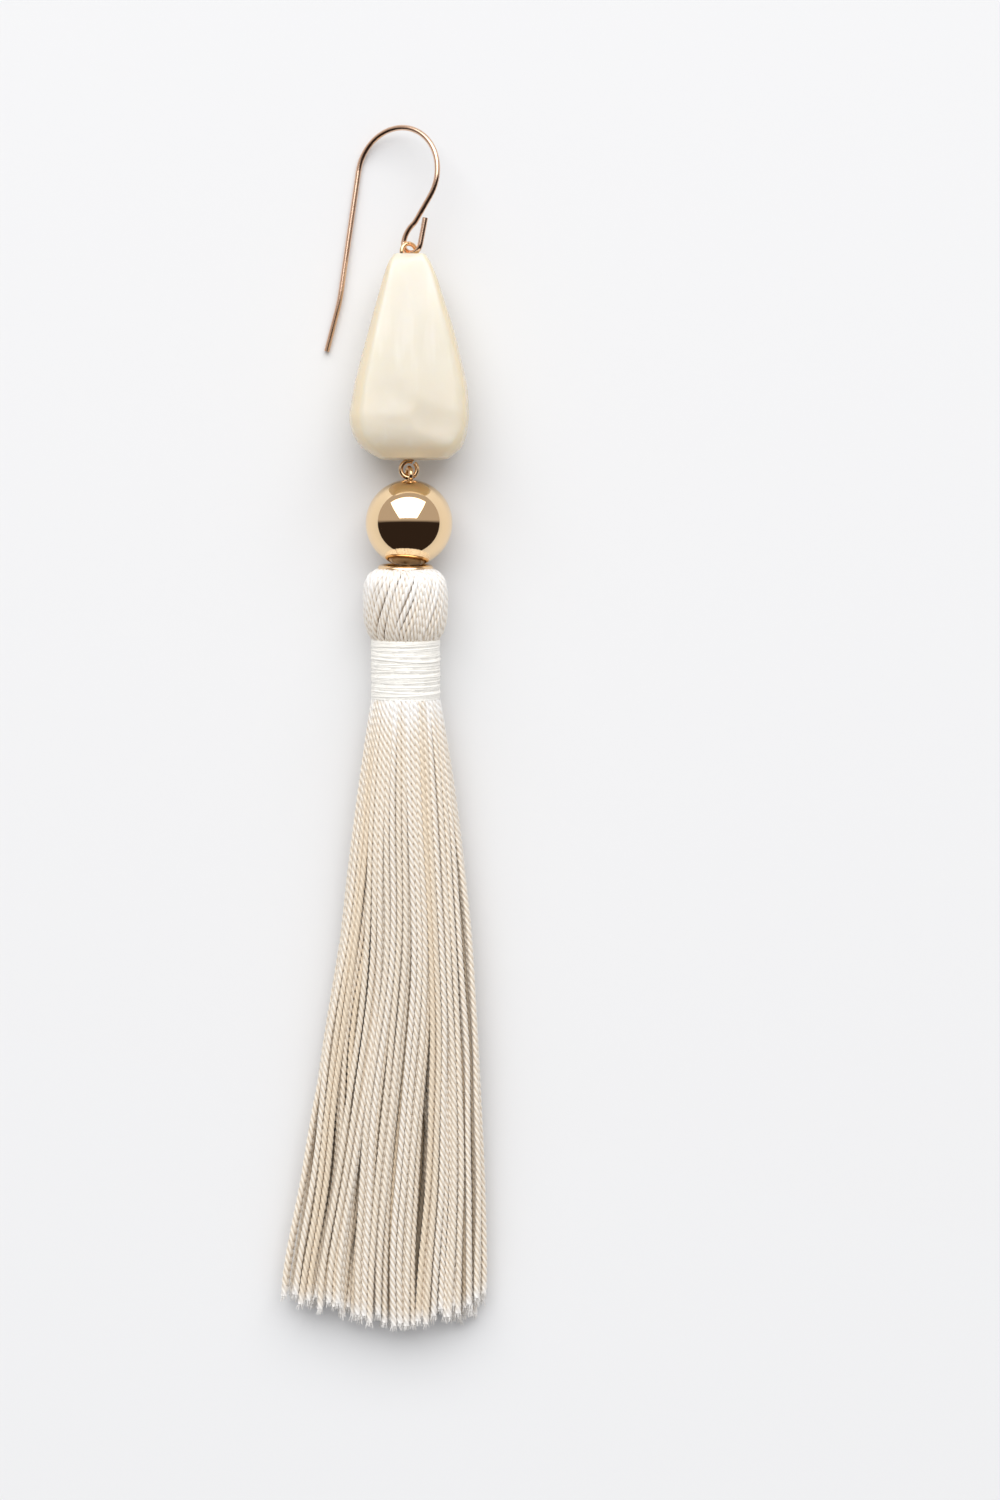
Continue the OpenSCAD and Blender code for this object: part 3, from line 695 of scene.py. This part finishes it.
# Cut ends: where the scissors went, the three plies of each cord open into loose filaments,
# which spread a little and stand out past the cut.
TUFT = 14
FILAMENT_R = 0.06
TUFT_R = 0.27
filaments, thick, phase, shades, painted_end_light = [], [], [], [], []
for path in paths:
    end, along = path[-1], path[-1] - path[-2]
    along /= np.linalg.norm(along)
    for _ in range(TUFT):
        around, far = chance.uniform(0, 2 * math.pi), TUFT_R * math.sqrt(chance.uniform())
        off = far * np.array([math.cos(around), 0, math.sin(around)])
        reach, spread = chance.uniform(0.2, 0.75), chance.uniform(1.1, 2.2)
        filament = np.array([end - 0.3 * along + off * 0.8, end + off,
                             end + reach / 2 * along + off * (1 + spread) / 2,
                             end + reach * along + off * spread])
        filament[:, 2] = filament[:, 2].clip(0.04)
        filaments.append(filament)
        thick.append(np.array([1.0, 1.0, 0.9, 0.5]))
        phase.append(np.zeros(4))
        # Painted light: each filament is pale and takes the whitened end colour all along.
        shades.append(np.full(4, 0.9))
        painted_end_light.append(np.ones(4))
tufts = corded("skirt_tufts", filaments,
               {"thick": thick, "phase": phase, "shade": shades, "tip": painted_end_light},
               {"Cord Radius": FILAMENT_R * MM, "Ply Lead": PLY_LEAD * MM,
                "Ring Spacing": 0.3 * MM, "Ply Depth": 0.0, "Plies": 1,
                "Material": silk})
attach(tufts, "root")
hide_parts("tassel_cords")


# Tassel head: the same cords, folded over the hidden pin and laid a little slanting round a padded
# core, down to the binding.
HEAD_L = 7.9
HEAD_R = 4.9
HEAD_CORDS = 52
HEAD_TWIST = math.radians(35)
HEAD_POINTS = 61
CORE_SIDES = 48
BINDING_L = 7.05
FIT_GAP = 0.05
# Share of the head's length from its top, share of its radius.
head_rows = np.array([[0.00, 0.50], [0.00, 0.66], [0.03, 0.80], [0.10, 0.92], [0.20, 0.975],
                      [0.36, 1.00], [0.56, 1.00], [0.74, 0.98], [0.87, 0.93], [0.96, 0.86],
                      [1.00, 0.80], [1.10, 0.72]])
neck_l = HEAD_L + BINDING_L + 2 * FIT_GAP
head_top = np.array([tassel_x, skirt_y + neck_l * math.cos(TASSEL_RISE),
                     NECK_Z + neck_l * math.sin(TASSEL_RISE)])


def on_tassel(points):
    """From the head's top, with the tassel's axis along Y, to where the tassel lies."""
    x, y, z = np.asarray(points, float).T
    c, s = math.cos(TASSEL_RISE), math.sin(TASSEL_RISE)
    return np.column_stack([x, y * c - z * s, y * s + z * c]) + head_top


outline = np.array([[np.interp(t, np.linspace(0, 1, len(head_rows)), head_rows[:, i])
                     for i in (0, 1)] for t in np.linspace(0, 1, HEAD_POINTS)])
outline = soft(outline, 2.5)
paths, thick, phase, shades, painted_end_light = [], [], [], [], []
for j in range(HEAD_CORDS):
    start = 2 * math.pi * j / HEAD_CORDS + chance.normal(0, 0.02)
    deep = 0.06 if j % 2 else 0.0
    r = outline[:, 1] * HEAD_R - CORD_D / 2 - deep
    a = start + HEAD_TWIST * np.clip(outline[:, 0], 0, 1.1) + 0.03 * np.sin(outline[:, 0] * 5 + j)
    paths.append(on_tassel(np.column_stack(
        [r * np.cos(a), -outline[:, 0] * HEAD_L - CORD_D / 2 * (1 - outline[:, 0]) * 0.6,
         r * np.sin(a)])))
    thick.append(np.full(HEAD_POINTS, 1.12))
    phase.append(np.full(HEAD_POINTS, chance.uniform(0, 2 * math.pi)))
    # Painted light: the head's cords are palest at its top and darker towards the binding, on top of
    # a small random tone.
    shades.append(np.clip(chance.normal(1.0, 0.05) - 0.45 * outline[:, 0], 0, 1))
    painted_end_light.append(np.zeros(HEAD_POINTS))
head = corded("head_cords", paths,
              {"thick": thick, "phase": phase, "shade": shades, "tip": painted_end_light},
              {"Cord Radius": CORD_D / 2 * MM, "Ply Lead": PLY_LEAD * MM,
               "Ring Spacing": PLY_LEAD / 12 * MM, "Ply Depth": PLY_DEPTH, "Plies": 3,
               "Material": silk})
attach(head, "root")
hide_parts("tassel_cords")

core_rows = [(0.05, -0.05)] + [(row[1] * HEAD_R - 0.62, -row[0] * HEAD_L - 0.15)
                               for row in head_rows[1:]] + [(0.05, -1.1 * HEAD_L)]
core = mesh_object("head_core", on_tassel(turned(core_rows, CORE_SIDES)),
                   ring_faces(len(core_rows), CORE_SIDES))
core_cloth, tree, shader = new_material("head_core_cloth", (0.62, 0.51, 0.39), 0.8)
paint(core, core_cloth)
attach(core, "root")
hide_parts("tassel_cords")


# Neck binding: fine off-white thread, wound tight round the cords by hand in uneven turns that
# cross here and there, over an under-layer of the same thread.
BINDING_R = 4.05
THREAD_D = 0.36
BINDING_TURNS = 44
CROSSING_SHARE = 0.4
SLEEVE_SIDES = 64
SLEEVE_UNDER = 0.17
thread_white, tree, shader = new_material("thread_white", (0.90, 0.87, 0.81), 0.42)
tree.links.new(ramp(tree, surface_noise(tree, 1500, 2), (0.97, 0.93, 0.85), (1.0, 0.98, 0.92)),
               shader.inputs["Base Color"])
shader.inputs["Sheen Weight"].default_value = 0.15


def wound(turns, radius, drift, low_y, high_y):
    """A wound path whose turns wander along the neck and over each other."""
    t = np.arange(int(turns * 40) + 1) / 40
    a = 2 * math.pi * t
    y = low_y + (high_y - low_y) * t / turns
    steps = chance.normal(0, drift, int(turns) + 3)
    waver = chance.uniform(0, 2 * math.pi, int(turns) + 3)
    y = y + np.interp(t, np.arange(len(steps)), steps)
    y = y + drift * 0.8 * np.sin(a + np.interp(t, np.arange(len(waver)), waver))
    y = np.clip(y, low_y, high_y)
    r = radius + np.interp(t, np.arange(len(steps)), chance.normal(0, 0.035, len(steps)))
    return np.column_stack([r * np.cos(a), -y, r * np.sin(a)])


under = wound(BINDING_TURNS, BINDING_R - THREAD_D * 0.70, 0.04,
              HEAD_L + 0.2, HEAD_L + BINDING_L - 0.1)
over = wound(BINDING_TURNS * CROSSING_SHARE, BINDING_R - THREAD_D * 0.62, 0.22,
             HEAD_L + 0.25, HEAD_L + BINDING_L - 0.15)
threads = [on_tassel(under), on_tassel(over)]
binding = corded("neck_thread", threads,
                 {"thick": [np.ones(len(p)) for p in threads],
                  "phase": [np.zeros(len(p)) for p in threads]},
                 {"Cord Radius": THREAD_D / 2 * MM, "Ply Lead": 1.6 * MM,
                  "Ring Spacing": 0.3 * MM, "Ply Depth": 0.08, "Plies": 2,
                  "Material": thread_white})
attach(binding, "root")
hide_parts("neck_binding")

sleeve_rows = [(BINDING_R - 0.75, -HEAD_L - 0.12), (BINDING_R - SLEEVE_UNDER, -HEAD_L - 0.16),
               (BINDING_R - SLEEVE_UNDER, -HEAD_L - 6.98), (BINDING_R - 0.75, -HEAD_L - 7.02)]
sleeve = mesh_object("neck_underlayer", on_tassel(turned(sleeve_rows, SLEEVE_SIDES)),
                     ring_faces(len(sleeve_rows), SLEEVE_SIDES))
paint(sleeve, thread_white)
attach(sleeve, "root")
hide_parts("neck_binding")


# The table: a smooth white board, and the room round it: a large window beyond the ear wire, pale
# walls on that side, and the dark of the room above and behind.
floor = mesh_object("table_top", [(-1500, -1500, -0.02), (1500, -1500, -0.02),
                                  (1500, 1500, -0.02), (-1500, 1500, -0.02)], [(0, 1, 2, 3)])
board, tree, shader = new_material("white_board", (0.80, 0.80, 0.80), 0.6)
shader.inputs["Specular IOR Level"].default_value = 0.2
paint(floor, board)

world = bpy.data.worlds.new("room")
bpy.context.scene.world = world
world.use_nodes = True
tree = world.node_tree
tree.nodes.clear()
look = tree.nodes.new("ShaderNodeTexCoord")
parts = tree.nodes.new("ShaderNodeSeparateXYZ")
tree.links.new(look.outputs["Generated"], parts.inputs[0])
wall = mapped(tree, parts.outputs["Y"], From_Min=0.00, From_Max=0.10)
room = mixed(tree, wall, (0.030, 0.021, 0.018), (0.52, 0.47, 0.45))
path_kind = tree.nodes.new("ShaderNodeLightPath")
fill = mixed(tree, path_kind.outputs["Is Diffuse Ray"], room, (0.52, 0.52, 0.53))
seen = mixed(tree, path_kind.outputs["Is Camera Ray"], fill, (0.90, 0.90, 0.91))
sky = tree.nodes.new("ShaderNodeBackground")
tree.links.new(seen, sky.inputs["Color"])
result = tree.nodes.new("ShaderNodeOutputWorld")
tree.links.new(sky.outputs[0], result.inputs[0])


# The window, in metres and watts, a little cooler than the walls.
WINDOW_AT = Vector((-0.06, 0.98, 1.65))
WINDOW_AIM = Vector((-0.06, -0.19, 1.21))
light = bpy.data.lights.new("window", "AREA")
light.shape = "RECTANGLE"
light.size, light.size_y = 2.37, 2.44
light.energy = 47
light.color = (0.985, 0.99, 1.0)
window = bpy.data.objects.new("window", light)
window.location = WINDOW_AT
window.rotation_euler = (WINDOW_AIM - WINDOW_AT).to_track_quat("-Z", "Y").to_euler()
window.visible_camera = False
bpy.context.collection.objects.link(window)

# The camera looks straight down, with the earring left of the middle of the page.
CAMERA_AT = (0.01351, -0.00263, 0.55)
VIEW_HEIGHT = 0.1725
VIEW_LEVEL = 0.005
SENSOR = 36.0
camera_data = bpy.data.cameras.new("camera")
camera_data.sensor_fit = "VERTICAL"
camera_data.sensor_height = SENSOR
camera_data.lens = SENSOR * (CAMERA_AT[2] - VIEW_LEVEL) / VIEW_HEIGHT
camera = bpy.data.objects.new("camera", camera_data)
camera.location = CAMERA_AT
bpy.context.collection.objects.link(camera)
bpy.context.scene.camera = camera
bpy.context.scene.view_settings.view_transform = "Standard"
bpy.context.scene.view_settings.look = "None"
